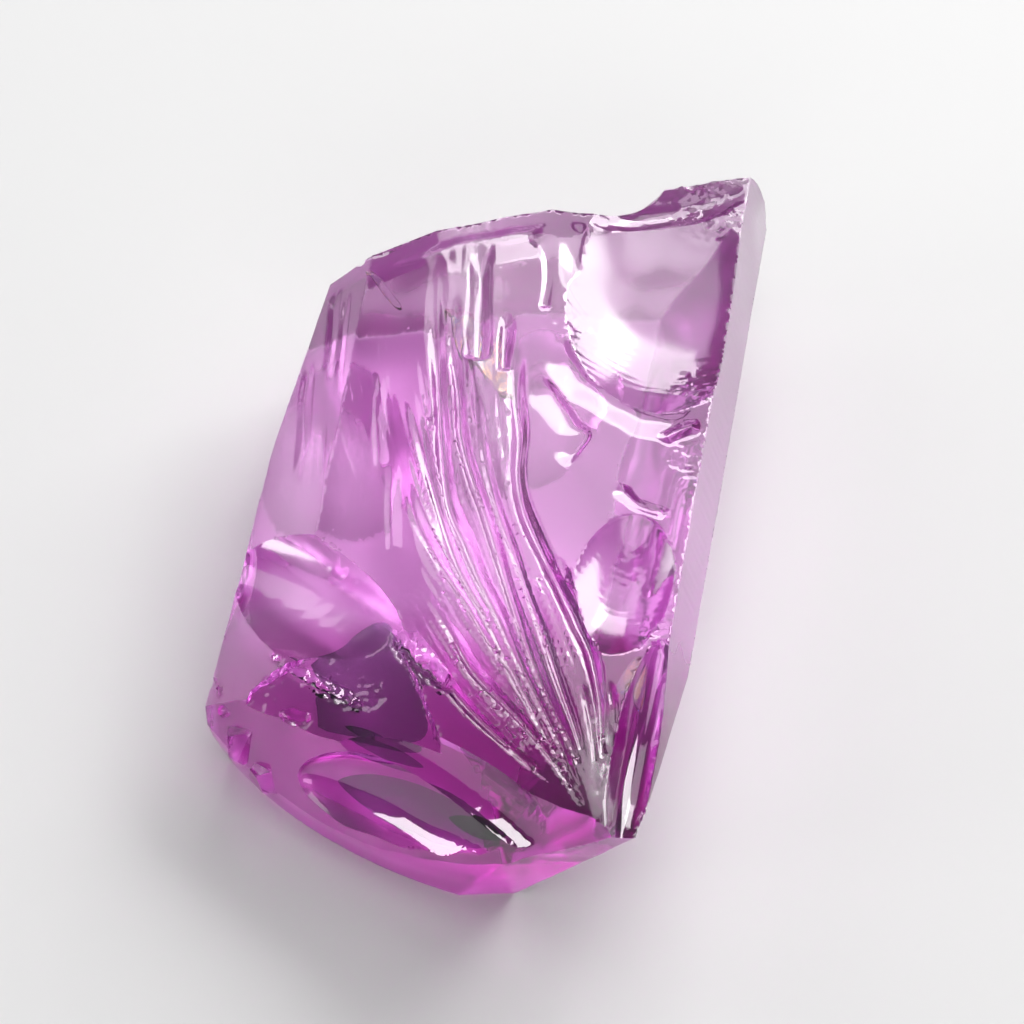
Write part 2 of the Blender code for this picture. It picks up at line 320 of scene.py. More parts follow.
class TopMap:
    """The relief of the top over x and y: how deep each place lies below the plain faces."""

    STEP = 0.05
    LOW = np.array([-14.6, -21.0])
    HIGH = np.array([14.6, 21.0])

    def __init__(self):
        counts = np.ceil((self.HIGH - self.LOW) / self.STEP).astype(int) + 1
        self.shape = tuple(counts)
        x = self.LOW[0] + self.STEP * np.arange(counts[0])
        y = self.LOW[1] + self.STEP * np.arange(counts[1])
        self.xy = np.stack(np.meshgrid(x, y, indexing="ij"), axis=-1).reshape(-1, 2)
        self.depth = np.zeros(len(self.xy))
        self.add_fan()
        self.add_hackle()
        self.add_ledges()
        self.add_sunk_facets()
        self.add_clefts()
        self.add_crumbles()
        self.add_swells()
        self.grid = self.depth.reshape(self.shape)

    def add_fan(self):
        curves = {name: curve_through(points) for name, (_, _, _, points) in FAN_LINES.items()}
        for name, (depth, right_flank, left_flank, _) in FAN_LINES.items():
            self.add_step(curves[name], depth, right_flank, left_flank)
        for left, right, count, depth, flank in FAN_STRANDS:
            for k in range(count):
                share = (k + 1) / (count + 1)
                strand = (1 - share) * resampled(curves[left]) + share * resampled(curves[right])
                self.add_step(strand[STRAND_START:], depth, flank, 1.6 * flank)

    def add_step(self, line, depth, right_flank, left_flank):
        near, share, beside = along_and_beside(self.xy, line, right_flank + left_flank)
        xy = self.xy[near]
        from_origin = np.hypot(*(xy - FAN_ORIGIN).T)
        narrow = np.clip(from_origin / FAN_FULL_WIDTH_FROM, FAN_NARROWEST, 1.0)
        narrow = narrow * (1.0 + 0.15 * swell(xy, 7.0, 11))
        left = np.clip(1 + beside / (right_flank * narrow), 0, 1)
        right = np.clip(1 - beside / (left_flank * narrow), 0, 1)
        tooth = np.where(beside < 0, smooth(left), smooth(right))
        fade = fade_ends(share, 0.08, 0.3)
        wide_enough = smooth((right_flank * narrow - THINNEST_FLANK) / 0.1)
        deep = FAN_RELIEF * depth * narrow * fade * wide_enough
        self.depth[near] = np.maximum(self.depth[near], deep * tooth)

    def fan_coordinate(self, xy):
        """A number that stays the same along the fan's curved lines."""
        rise = FAN_OPENING * np.clip((xy[:, 1] - FAN_ORIGIN[1]) / FAN_LENGTH, 0.02, None)
        spread = rise / (1 + rise ** 6) ** (1 / 6)
        return FAN_ORIGIN[0] - (FAN_ORIGIN[0] - xy[:, 0]) / spread

    def add_hackle(self):
        """Fine scratches between the steps, strongest where the fan is white."""
        xy = self.xy
        u = self.fan_coordinate(xy)
        x, y = xy.T
        lower = lobe(x + 0.6 + 0.42 * (y + 7.5), y + 8.5, 1.9, 4.2)
        upper = lobe(x + 1.4, y - 12.5, 1.5, 3.2)
        middle = lobe(x - 0.2, y - 3.0, 1.8, 4.0)
        outer = lobe(x + 6.2, y - 3.5, 2.2, 7.0)
        fine = striae(u, 0.62, 21) + 0.6 * striae(u, 0.35, 22)
        patchy = 0.65 + 0.5 * swell(xy, 2.2, 23)
        silky = 0.6 * lower + upper + 0.8 * middle + 0.5 * outer
        self.depth += HACKLE_HEIGHT * silky * patchy * fine

    def add_ledges(self):
        for height, step_width, soft, points in LEDGES:
            near, share, beside = along_and_beside(self.xy, curve_through(points), soft)
            ragged = beside + 0.05 * swell(self.xy[near], 1.6, 31)
            falling = smooth(1 + ragged / step_width) * (ragged < 0)
            returning = smooth(1 - ragged / soft) * (ragged >= 0)
            fade = fade_ends(share, 0.2, 0.2)
            self.depth[near] += height * fade * (falling + returning)

    def add_sunk_facets(self):
        for depth, slope_x, slope_y, corners in SUNK_FACETS:
            first = np.array(corners[0])
            inside = np.ones(len(self.xy), bool)
            for a, b in zip(corners, corners[1:] + corners[:1]):
                offset = self.xy - a
                inside &= (b[0] - a[0]) * offset[:, 1] - (b[1] - a[1]) * offset[:, 0] > 0
            plane = depth + (self.xy - first) @ (slope_x, slope_y)
            self.depth = np.where(inside, np.maximum(self.depth, plane), self.depth)

    def add_clefts(self):
        for depth, half_width, points in CLEFTS:
            line = curve_through(points)
            near, share, beside = along_and_beside(self.xy, line, 3 * half_width)
            ragged = beside + 0.07 * swell(self.xy[near], 0.6, 41)
            fade = fade_ends(share, 0.25, 0.25)
            self.depth[near] += depth * fade * np.exp(-(ragged / (half_width * (0.4 + fade))) ** 2)

    def add_crumbles(self):
        for centre, radius, height in CRUMBLES:
            reach = off_centre(self.xy, centre) / radius
            near = reach < 1.6
            xy = self.xy[near]
            edge = reach[near] + 0.35 * swell(xy, 1.1, 53)
            self.depth[near] += crumbs(xy, edge, height)

    def add_swells(self):
        self.depth += 0.04 * swell(self.xy, 7.5, 61) + 0.006 * swell(self.xy, 2.6, 62)

    def at(self, points):
        """The relief depth at these points, between the map's cells."""
        place = (points[:, :2] - self.LOW) / self.STEP
        cell = np.clip(np.floor(place).astype(int), 0, np.array(self.shape) - 2)
        fx, fy = np.clip(place - cell, 0, 1).T
        i, j = cell.T
        g = self.grid
        return ((g[i, j] * (1 - fx) + g[i + 1, j] * fx) * (1 - fy)
                + (g[i, j + 1] * (1 - fx) + g[i + 1, j + 1] * fx) * fy)


top_map = TopMap()

# ---- relief of the other faces


def bevel_relief(points):
    """The left bevel: scratched along its length, with a few grooves."""
    grooves = np.zeros(len(points))
    for depth, half_width, line in BEVEL_GROOVES:
        line = curve_through(line)
        near, share, beside = along_and_beside(points[:, :2], line, 3 * half_width)
        fade = fade_ends(share, 0.3, 0.4)
        grooves[near] += depth * fade * np.exp(-(beside / half_width) ** 2)
    scratch = striae(points[:, 0] + 0.25 * points[:, 2] + 0.2 * swell(points, 7.0, 71), 0.9, 72)
    patchy = 0.6 + 0.6 * swell(points, 3.5, 73)
    return grooves + 0.012 * scratch * patchy + 0.03 * swell(points, 6.0, 74)


def side_relief(azimuth, seed, depth=0.025, pitch=2.0):
    """A broken side wall: upright scratches and slow waves."""
    across = unit(azimuth + 90)

    def relief(points):
        run = points @ across + 0.5 * swell(points, 9.0, seed)
        scratch = striae(run + 0.12 * points[:, 2], pitch, seed + 1)
        waves = swell(points, 4.6, seed + 2)
        return depth * (0.7 * scratch * (0.6 + 0.5 * swell(points, 3.7, seed + 3)) + 0.9 * waves)

    return relief


def frosted_relief(points):
    """The long outer side: many fine upright scratches and a gentle wave."""
    run = points @ unit(80) + 0.15 * points[:, 2]
    fine = striae(run, 0.7, 81) + 0.5 * striae(run, 0.36, 82)
    return 0.008 * fine + 0.03 * swell(points, 8.0, 83)


def slope_relief(points):
    """The near slope under the fan: broad shells and ridges that run down from the edge."""
    run = points @ unit(-34.9)
    ridges = striae(run + 0.8 * points[:, 2], 3.4, 91)
    return 0.06 * ridges + 0.02 * swell(points, 4.6, 92)


def underside_relief(points):
    """The face it rests on: shallow shells between places that stay flat."""
    hollow = swell(points, 9.0, 101) + 0.5 * swell(points, 3.6, 102)
    return np.clip(0.08 * (hollow - 0.15), 0, 0.2)


RELIEFS = {
    "top_left": top_map.at,
    "top_right": top_map.at,
    "top_near_bevel": top_map.at,
    "left_bevel": bevel_relief,
    "frosted_side": frosted_relief,
    "near_slope": slope_relief,
    "right_undercut": side_relief(-11.7, 200, 0.03, 3.0),
    "right_corner_undercut": side_relief(-26.0, 210, 0.03, 3.0),
    "near_undercut": side_relief(-88.0, 220),
    "left_far_side": side_relief(161.6, 230),
    "left_near_side": side_relief(167.7, 240),
    "far_left_side": side_relief(106.5, 250, 0.07, 2.6),
    "far_side": side_relief(105.5, 260, 0.07, 2.6),
    "far_point_side": side_relief(97.7, 270, 0.05, 1.6),
    "far_point_bevel": side_relief(0.0, 280),
    "left_undercut": side_relief(175.0, 290, 0.04, 3.4),
    "far_undercut": side_relief(95.0, 300, 0.1, 4.4),
    "underside": underside_relief,
}

# Angular shards that stand out of the sides: (centre, radii along x, y and z)
SHARDS = (
    ((-5.9, 13.6, 9.7), (0.9, 0.8, 0.6)),
    ((-12.5, -9.2, 4.4), (1.2, 1.7, 1.6)),
    ((-12.2, -10.9, 3.8), (1.3, 1.4, 1.5)),
    ((-11.0, -12.2, 2.8), (1.3, 1.2, 1.2)),
)
SHARD_FACETS = 16

# Small chips along an edge: (points of the edge, how many, smallest and largest radius)
CHIPPED_EDGES = (
    (((12.62, 16.95, 10.6), (11.9, 12.2, 10.4), (11.37, 7.36, 10.3), (10.9, 3.4, 10.5),
        (10.2, 0.2, 10.7)), 40, 0.25, 0.6),
    (((9.6, -1.8, 10.8), (9.0, -6.2, 10.8), (8.4, -9.6, 10.8), (7.4, -14.5, 10.2)), 10, 0.25, 0.5),
    (((4.8, 17.6, 10.6), (8.6, 18.6, 10.6), (11.4, 19.2, 10.2)), 14, 0.3, 0.7),
    (((-8.2, 13.6, 9.6), (-3.0, 15.4, 10.7), (2.4, 16.6, 10.9)), 10, 0.2, 0.4),
    (((-13.4, -5.0, 5.6), (-13.9, -9.4, 4.8), (-12.8, -11.8, 5.0)), 10, 0.18, 0.36),
)

# How far chips stray from their edge, and how high they lie above it against their radius; how far
# out a shard's facets lie.
CHIP_SCATTER = 0.3
CHIP_LIFT = 0.62
SHARD_FACET_REACH = (0.55, 0.9)


def chip_balls():
    """Centres and radii of the balls that nibble the edges."""
    rng = np.random.default_rng(7)
    centres, radii = [], []
    for points, count, smallest, largest in CHIPPED_EDGES:
        line = curve_through(points)
        for place in rng.uniform(0, len(line) - 1, count):
            k = int(place)
            spot = line[k] + (line[min(k + 1, len(line) - 1)] - line[k]) * (place - k)
            radius = smallest + (largest - smallest) * rng.random() ** 2
            stray = [rng.normal(0, CHIP_SCATTER), rng.normal(0, CHIP_SCATTER), CHIP_LIFT * radius]
            centres.append(spot + np.array(stray))
            radii.append(radius)
    return np.array(centres), np.array(radii)


def shard_facets():
    """For each shard, the directions of its facets and how far out they lie."""
    rng = np.random.default_rng(17)
    ways = rng.normal(size=(len(SHARDS), SHARD_FACETS, 3))
    ways /= np.linalg.norm(ways, axis=2)[:, :, None]
    return ways, rng.uniform(*SHARD_FACET_REACH, (len(SHARDS), SHARD_FACETS))


CHIP_CENTRES, CHIP_RADII = chip_balls()
SHARD_WAYS, SHARD_REACH = shard_facets()

# ---- the solid as a function

FACE_NAMES = list(FACES)
NORMALS = np.array([unit(azimuth, elevation) for azimuth, elevation, _ in FACES.values()])
DISTANCES = np.array([distance for _, _, distance in FACES.values()])

# Relief may bring out a surface that lies up to this far inside the outermost one.
RELIEF_REACH = 1.0

# The numbers by which solid() calls its surfaces: the faces, the end wall, the hollows, the chips.
END_OWNER = len(FACES)
CHIP_OWNER = END_OWNER + 50


def hollow_axes(azimuth, elevation, long_azimuth):
    deep = unit(azimuth, elevation)
    along = unit(long_azimuth)
    along = along - deep * (along @ deep)
    along /= np.linalg.norm(along)
    return np.array([along, np.cross(deep, along), deep])


HOLLOW_SHAPES = {name: (np.array(centre), np.array(radii), hollow_axes(*angles))
                 for name, (centre, radii, *angles) in HOLLOWS.items()}


def near_end(points):
    """Distance outside the rounded end wall."""
    lean = np.array(NEAR_END_LEAN) / np.linalg.norm(NEAR_END_LEAN)
    offset = points - NEAR_END_CENTRE
    radial = offset - (offset @ lean)[:, None] * lean
    return lengths(radial) - NEAR_END_RADIUS


def end_relief(points):
    """Arcs that run along the rounded end, over soft bumps."""
    return 0.05 * swell(points * (0.5, 0.5, 2.0), 5.5, 111)


def hollow_distance(name, points):
    """Distance outside one hollow: negative inside it."""
    centre, radii, axes = HOLLOW_SHAPES[name]
    local = (points - centre) @ axes.T
    scaled = lengths(local / radii)
    slope = lengths(local / radii ** 2) + 1e-9
    return scaled * (scaled - 1) / slope


def hollow_relief(name, points):
    """The fine rings, waves and crumbs on a hollow's wall."""
    depth = 0.03 * swell(points, 4.8, 121) + 0.003 * swell(points, 1.6, 122)
    if name in RIPPLES:
        centre, inner, outer, pitch, height = RIPPLES[name]
        radius = off_centre(points, centre)
        wander = radius + 0.1 * swell(points, 2.4, 123)
        fade = smooth((radius - inner) / 0.8) * smooth((outer - radius) / 1.2)
        patchy = np.clip(0.55 + 0.8 * swell(points, 2.8, 124), 0, 1.2)
        depth = depth + height * fade * patchy * np.sin(2 * math.pi * wander / pitch)
    for centre, radius, height in CRUMBLES:
        reach = off_centre(points, centre) / radius
        depth = depth - crumbs(points, reach, height)
    return depth


def plain_solid(points):
    """The solid without relief: distance outside it, roughly, and every face's own distance."""
    faces = points @ NORMALS.T - DISTANCES
    value = np.maximum(faces.max(axis=1), near_end(points))
    for name in HOLLOWS:
        value = np.maximum(value, -hollow_distance(name, points))
    return value, faces


def rough_solid(points):
    return plain_solid(points)[0]


def surfaces_near(points):
    """Each surface near some of the points: its number, which points, and how far outside it."""
    plain, faces = plain_solid(points)
    nearest = plain - RELIEF_REACH
    for k, name in enumerate(FACE_NAMES):
        where = faces[:, k] > nearest
        if where.any():
            yield k, where, faces[where, k] + RELIEFS[name](points[where])
    end = near_end(points)
    where = end > nearest
    if where.any():
        yield END_OWNER, where, end[where] + end_relief(points[where])
    for k, name in enumerate(HOLLOWS):
        cut = -hollow_distance(name, points)
        where = cut > nearest
        if where.any():
            yield END_OWNER + 1 + k, where, cut[where] - hollow_relief(name, points[where])
    for centre, radius in zip(CHIP_CENTRES, CHIP_RADII):
        where = (np.abs(points - centre) < radius + 0.3).all(axis=1)
        if where.any():
            ball = radius - lengths(points[where] - centre)
            yield CHIP_OWNER, where, ball + 0.06 * swell(points[where], 0.9, 131)


def shards_near(points):
    """Each shard near some of the points: which points, and how far outside it."""
    for k, (centre, radii) in enumerate(SHARDS):
        where = (np.abs(points - centre) < 1.3 * np.array(radii) + 0.5).all(axis=1)
        if where.any():
            local = (points[where] - centre) / radii
            facets = (local @ SHARD_WAYS[k].T - SHARD_REACH[k]).max(axis=1)
            lump = np.maximum(facets, lengths(local) - 1) * min(radii)
            yield where, np.maximum(lump, -points[where, 2])


def solid(points, with_owner=False):
    """The finished solid: negative inside. The owner is the number of the outermost surface."""
    value = np.full(len(points), -FAR)
    owner = np.zeros(len(points), int)
    for index, where, outside in surfaces_near(points):
        wins = outside > value[where]
        chosen = np.flatnonzero(where)[wins]
        value[chosen] = outside[wins]
        owner[chosen] = index
    for where, outside in shards_near(points):
        value[where] = np.minimum(value[where], outside)
    return (value, owner) if with_owner else value


# ---- from the function to a mesh

# The grid's cell, how near the surface relief counts, the most triangles, how often a crossing is
# refined, how far a vertex may leave its cell, and the grid's box.
CELL = 0.145
BAND = 1.2
MOST_TRIANGLES = 190_000
REFINEMENTS = 3
OVERHANG = 0.02
GRID_LOW = (-14.9, -20.9, -0.43)
GRID_HIGH = (14.9, 20.9, 11.9)


def sampled_grid(field, rough_field, low, high, cell):
    """The field on a grid of cells; far from the surface the rough field is enough."""
    counts = np.ceil((high - low) / cell).astype(int) + 1
    x, y, z = (low[i] + cell * np.arange(counts[i]) for i in range(3))
    values = np.empty(tuple(counts), np.float64)
    sheet = np.stack(np.meshgrid(x, y, indexing="ij"), axis=-1).reshape(-1, 2)
    for k, height in enumerate(z):
        points = np.column_stack([sheet, np.full(len(sheet), height)])
        level = rough_field(points)
        close = np.abs(level) < BAND
        if close.any():
            level[close] = field(points[close])
        values[:, :, k] = level.reshape(counts[0], counts[1])
    values[values == 0] = 1e-9
    return values


def crossings(field, low, cell, values):
    """For each axis, where the surface crosses the grid's edges: cells, points and normals."""
    found = []
    for axis in range(3):
        near = np.take(values, range(values.shape[axis] - 1), axis=axis)
        far = np.take(values, range(1, values.shape[axis]), axis=axis)
        index = np.argwhere((near < 0) != (far < 0))
        a = near[tuple(index.T)]
        b = far[tuple(index.T)]
        start = low + cell * index
        step = np.zeros(3)
        step[axis] = cell
        t_low, t_high, v_low, v_high = np.zeros(len(a)), np.ones(len(a)), a, b
        for _ in range(REFINEMENTS):
            t = t_low + (t_high - t_low) * np.clip(v_low / (v_low - v_high), 0.1, 0.9)
            v = field(start + t[:, None] * step)
            same = (v < 0) == (v_low < 0)
            t_low, v_low = np.where(same, t, t_low), np.where(same, v, v_low)
            t_high, v_high = np.where(same, t_high, t), np.where(same, v_high, v)
        t = t_low + (t_high - t_low) * np.clip(v_low / (v_low - v_high), 0, 1)
        points = start + t[:, None] * step
        found.append((index, points, slopes(field, points), a < 0))
    return found


def slopes(field, points, reach=0.012):
    """Unit gradients of the field, which point out of the surface."""
    gradient = np.empty_like(points)
    for axis in range(3):
        shift = np.zeros(3)
        shift[axis] = reach
        gradient[:, axis] = field(points + shift) - field(points - shift)
    return gradient / (lengths(gradient)[:, None] + 1e-12)


def contour(field, rough_field, low, high, cell):
    """Vertices and quads of the field's surface: one vertex in each cell that the surface crosses,
    set where the tangent planes meet, so that edges stay sharp."""
    low, high = np.array(low), np.array(high)
    values = sampled_grid(field, rough_field, low, high, cell)
    shape = values.shape
    planes, quads = [], []
    found = crossings(field, low, cell, values)
    for axis, (index, points, normals, inside_first) in enumerate(found):
        u, v = [(1, 2), (2, 0), (0, 1)][axis]
        corner_cells = []
        for back_u, back_v in ((1, 1), (0, 1), (0, 0), (1, 0)):
            place = index.copy()
            place[:, u] -= back_u
            place[:, v] -= back_v
            corner_cells.append(np.ravel_multi_index(place.T, shape))
            planes.append((corner_cells[-1], points, normals))
        loop = np.stack(corner_cells, axis=1)
        loop[~inside_first] = loop[~inside_first][:, ::-1]
        quads.append(loop)
    cells = np.concatenate([p[0] for p in planes])
    points = np.concatenate([p[1] for p in planes])
    normals = np.concatenate([p[2] for p in planes])
    used, where = np.unique(cells, return_inverse=True)
    where = where.reshape(-1)
    vertices = meeting_points(points, normals, where, len(used))
    corner = low + cell * np.stack(np.unravel_index(used, shape), axis=1)
    vertices = np.clip(vertices, corner - OVERHANG * cell, corner + (1 + OVERHANG) * cell)
    quads = np.searchsorted(used, np.concatenate(quads))
    return vertices, quads


def meeting_points(points, normals, where, count, pull=0.04):
    """For each cell, the point nearest to its tangent planes, pulled a little to their middle."""
    share = np.bincount(where, minlength=count)
    middle = np.stack([np.bincount(where, points[:, k], count) for k in range(3)], axis=1)
    middle /= share[:, None]
    offset = np.einsum("ij,ij->i", normals, points - middle[where])
    matrix = np.empty((count, 3, 3))
    target = np.empty((count, 3))
    for i in range(3):
        target[:, i] = np.bincount(where, normals[:, i] * offset, count)
        for j in range(3):
            matrix[:, i, j] = np.bincount(where, normals[:, i] * normals[:, j], count)
    matrix += pull * np.eye(3)
    return middle + np.linalg.solve(matrix, target[:, :, None])[:, :, 0]


def in_scene(name, data):
    """A new object with this mesh, light or camera."""
    thing = bpy.data.objects.new(name, data)
    bpy.context.scene.collection.objects.link(thing)
    return thing


def new_mesh_object(name, vertices, faces):
    mesh = bpy.data.meshes.new(name)
    mesh.from_pydata([tuple(v) for v in vertices * MM], [], [tuple(map(int, f)) for f in faces])
    mesh.validate()
    return in_scene(name, mesh)


def apply_modifiers(piece):
    graph = bpy.context.evaluated_depsgraph_get()
    finished = bpy.data.meshes.new_from_object(piece.evaluated_get(graph))
    old = piece.data
    piece.modifiers.clear()
    piece.data = finished
    bpy.data.meshes.remove(old)


SMOOTH_ANGLE = math.radians(24)


def build_crystal():
    vertices, quads = contour(solid, rough_solid, GRID_LOW, GRID_HIGH, CELL)
    piece = new_mesh_object("crystal_body", vertices, quads)
    triangles = 2 * len(quads)
    if triangles > MOST_TRIANGLES:
        reduce = piece.modifiers.new("reduce", "DECIMATE")
        reduce.ratio = MOST_TRIANGLES / triangles
        reduce.use_collapse_triangulate = True
        apply_modifiers(piece)
    piece.data.shade_smooth()
    piece.data.set_sharp_from_angle(angle=SMOOTH_ANGLE)
    points = mesh_points(piece)
    _, owner = solid(points, with_owner=True)
    smooth_top(piece, owner)
    paint_frost(piece, points, owner)
    return piece


def mesh_points(piece):
    flat = np.empty(len(piece.data.vertices) * 3, np.float32)
    piece.data.vertices.foreach_get("co", flat)
    return flat.reshape(-1, 3).astype(float) / MM


def smooth_top(piece, owner):
    """Takes the creases out of the top's shading, so that the fan's streaks look silky."""
    edges = piece.data.edges
    ends = np.empty(len(edges) * 2, np.int32)
    edges.foreach_get("vertices", ends)
    creased = np.empty(len(edges), bool)
    edges.foreach_get("use_edge_sharp", creased)
    on_top = owner <= FACE_NAMES.index("top_right")
    creased &= ~on_top[ends.reshape(-1, 2)].all(axis=1)
    edges.foreach_set("use_edge_sharp", creased)


# How frosted each surface is, from 0 for clear to 1. The others have CLEAR_FROST. FAN_FROST is
# added where the fan is white.
FROST = {
    "top_left": 0.22,
    "top_right": 0.18,
    "top_near_bevel": 0.04,
    "left_bevel": 0.3,
    "frosted_side": 1.0,
    "far_point_bevel": 0.8,
    "near_slope": 0.1,
    "far_left_side": 0.75,
    "far_side": 0.75,
    "far_point_side": 0.75,
    "far_undercut": 0.75,
    "far_shell": 0.75,
    "under_shell_far": 0.6,
    "under_shell_left": 0.6,
    "underside": 0.7,
    "upper_dish": 0.34,
    "rim_dish": 0.18,
    "middle_dish": 0.32,
    "left_scar": 0.3,
    "end_eye": 0.02,
    "end_hollow": 0.06,
}
CLEAR_FROST = 0.16
END_FROST = 0.12
CHIP_FROST = 0.3
FAN_FROST = 0.3

# Walls frosted more than this clear up towards the near end: over this stretch in y, to this share.
WELL_FROSTED = 0.7
CLEARS_FROM, CLEARS_TO = -4.0, -16.0
LEAST_FROST = 0.25


def paint_frost(piece, points, owner):
    """Keeps the frosting of each place on the mesh, for the material."""
    names = FACE_NAMES + ["end"] + list(HOLLOWS)
    table = np.full(CHIP_OWNER + 1, CHIP_FROST)
    table[:len(names)] = [FROST.get(name, CLEAR_FROST) for name in names]
    table[END_OWNER] = END_FROST
    frost = table[owner]
    on_top = owner <= FACE_NAMES.index("top_right")
    frost[on_top] += FAN_FROST * fan_whiteness(points[on_top])
    along = points[:, 1] + 1.5 * swell(points, 3.0, 141)
    kept = LEAST_FROST + (1 - LEAST_FROST) * smooth((along - CLEARS_TO) / (CLEARS_FROM - CLEARS_TO))
    frost = np.where(frost > WELL_FROSTED, frost * kept, frost)
    frost[owner == FACE_NAMES.index("underside")] = FROST["underside"]
    layer = piece.data.attributes.new("frost", "FLOAT", "POINT")
    layer.data.foreach_set("value", np.clip(frost, 0, 1).astype(np.float32))


def fan_whiteness(points):
    """Where the fan's silk is white, up to 1, and where it gathers in the corner, up to 1.8."""
    x, y = points[:, :2].T
    lower = lobe(x + 0.6 + 0.42 * (y + 7.5), y + 8.5, 2.2, 5.5)
    upper = lobe(x + 1.4, y - 11.5, 1.8, 4.5)
    middle = lobe(x + 0.4, y - 1.0, 2.2, 6.0)
    corner = lobe(x - 4.6, y + 15.8, 0.8, 3.0)
    return np.clip(lower + upper + middle, 0, 1) + 1.8 * corner


# ---- what is sealed inside: cracks, films of painted reflection and shade, and a zone of painted shade

# The zone of painted shade at the near end, which absorbs more and darkens it: how far it stays
# under the surface, and the slanted plane where it begins (a point on it and the plane's normal).
ZONE_INSET = 0.5
ZONE_UNDER_HOLLOWS = 0.3
ZONE_START = (0.0, -3.0, 0.0)
ZONE_NORMAL = (0.0, 0.618, 0.786)
ZONE_CELL = 0.55

# Thin cracks below the top, and thin films there that paint the dark reflection on the near facet
# and the shade along its clefts: (look, thickness, waviness, depth, azimuth and elevation of the
# normal, points of the top that the outline is seen through)
TOP_SHADE_FILMS_AND_CRACKS = {
    "crack_feather": ("crack", 0.05, 0.08, 1.3, 0, 80, ((-2.63, 9.63), (-0.68, 8.42), (0.34, 5.62),
        (0.14, 3.97), (-1.79, 7.0))),
    "crack_flash": ("crack", 0.04, 0.04, 0.9, 20, 74, ((-1.75, 9.2), (-0.75, 8.7), (-0.35, 7.9),
        (-1.2, 8.3))),
    "crack_streak": ("crack", 0.05, 0.04, 1.1, 30, 62, ((-6.62, 12.55), (-6.1, 12.45),
        (-4.85, 10.4), (-5.25, 10.3))),
    "crack_low": ("crack", 0.05, 0.1, 1.6, -60, 68, ((5.4, -12.4), (6.4, -10.9), (6.3, -13.2))),
    # Painted reflection: a grey film under the near facet that darkens it as a dark reflection
    # would.
    "near_facet_dark_reflection": ("smoke", 0.1, 0.03, 1.55, -100, 79, ((-5.3, -7.6), (-8.6, -9.2), (-11.4, -10.6),
        (-9.6, -12.3), (-6.4, -13.3), (-3.4, -13.6), (-3.1, -11.8), (-3.9, -9.6))),
    # Painted shade: dark films along the two clefts.
    "cleft_shade_streak": ("soot", 0.06, 0.05, 1.6, -100, 79, ((-5.1, -8.2), (-4.5, -9.0), (-4.1, -9.3),
        (-3.4, -10.4), (-2.9, -10.9), (-2.5, -12.0), (-3.0, -11.6), (-3.5, -11.0), (-4.1, -9.9))),
    "cleft_shade_line": ("soot", 0.06, 0.05, 2.0, -100, 79, ((-10.2, -9.5), (-9.2, -9.9), (-8.2, -10.5),
        (-7.4, -10.9), (-6.3, -11.9), (-7.5, -11.4), (-8.6, -10.9))),
}

# Almond-shaped films behind the end wall that paint dark reflection and shade in the end hollow:
# (look, thickness, waviness, middle, azimuth and elevation of the normal, turn in its plane, half
# length, half width)
END_SHADE_FILMS = {
    # Grey films paint dark reflection in the end hollow, and the dark film paints shade in it.
    "eye_dark_reflection": ("smoke", 0.08, 0.05, (-3.5, -15.3, 4.7), -130, 31, 18, 4.8, 1.5),
    "eye_shade": ("soot", 0.05, 0.1, (-0.8, -17.1, 6.2), -132, 34, 22, 1.7, 0.5),
    "upper_dark_reflection": ("smoke", 0.06, 0.05, (-5.2, -13.1, 6.4), -125, 24, 10, 2.2, 0.45),
}
ALMOND_POINTS = 40

# Rings of a crack or film, from its rim inwards; how deep the rim stays under the surface, and the
# steps in which it is drawn in; the slide in y per mm of depth that keeps a crack or film in place
# in the view.
LENS_RINGS = (1.0, 0.82, 0.58, 0.3)
SEAL_DEPTH = 0.22
SEAL_STEPS = 40
VIEW_SLIDE = 0.31


def near_end_shade_zone(points):
    """Distance outside the zone of painted shade at the near end."""
    start = (points - ZONE_START) @ np.array(ZONE_NORMAL)
    inside = np.maximum(rough_solid(points) + ZONE_INSET, solid(points) + ZONE_UNDER_HOLLOWS)
    return np.maximum(inside, start)


def build_near_end_shade():
    vertices, quads = contour(near_end_shade_zone, near_end_shade_zone, GRID_LOW, GRID_HIGH, ZONE_CELL)
    zone = new_mesh_object("near_end_shade_zone", vertices, quads)
    zone.data.shade_smooth()
    return zone


def top_height(xy):
    """Height of the plain top over these points."""
    tops = [FACE_NAMES.index(name) for name in ("top_left", "top_right", "top_near_bevel")]
    return min((DISTANCES[k] - xy @ NORMALS[k][:2]) / NORMALS[k][2] for k in tops)


def lens_below_top(depth, azimuth, elevation, outline):
    """Middle, rim and normal of a crack, or of a film of painted reflection or shade, that hangs
    below its outline on the top.
    """
    xy = curve_through(outline, per_span=6, closed=True)
    normal = unit(azimuth, elevation)
    middle = xy.mean(axis=0)
    z = top_height(middle) - depth - (xy - middle) @ normal[:2] / normal[2]
    slide = np.array([0.0, VIEW_SLIDE * depth, 0.0])
    rim = np.column_stack([xy, z]) + slide
    return rim.mean(axis=0), rim, normal


def film_behind_end(middle, azimuth, elevation, turn, half_length, half_width):
    """Middle, rim and normal of an almond-shaped film behind the end wall, which paints dark
    reflection or shade.
    """
    normal = unit(azimuth, elevation)
    level = unit(azimuth + 90)
    rise = np.cross(normal, level)
    t = np.linspace(0, 2 * math.pi, ALMOND_POINTS, endpoint=False)
    u = half_length * np.cos(t)
    v = half_width * np.sin(t) * np.abs(np.sin(t)) ** 0.5
    c, s = math.cos(math.radians(turn)), math.sin(math.radians(turn))
    rim = middle + np.outer(u * c - v * s, level) + np.outer(u * s + v * c, rise)
    return np.array(middle), rim, normal


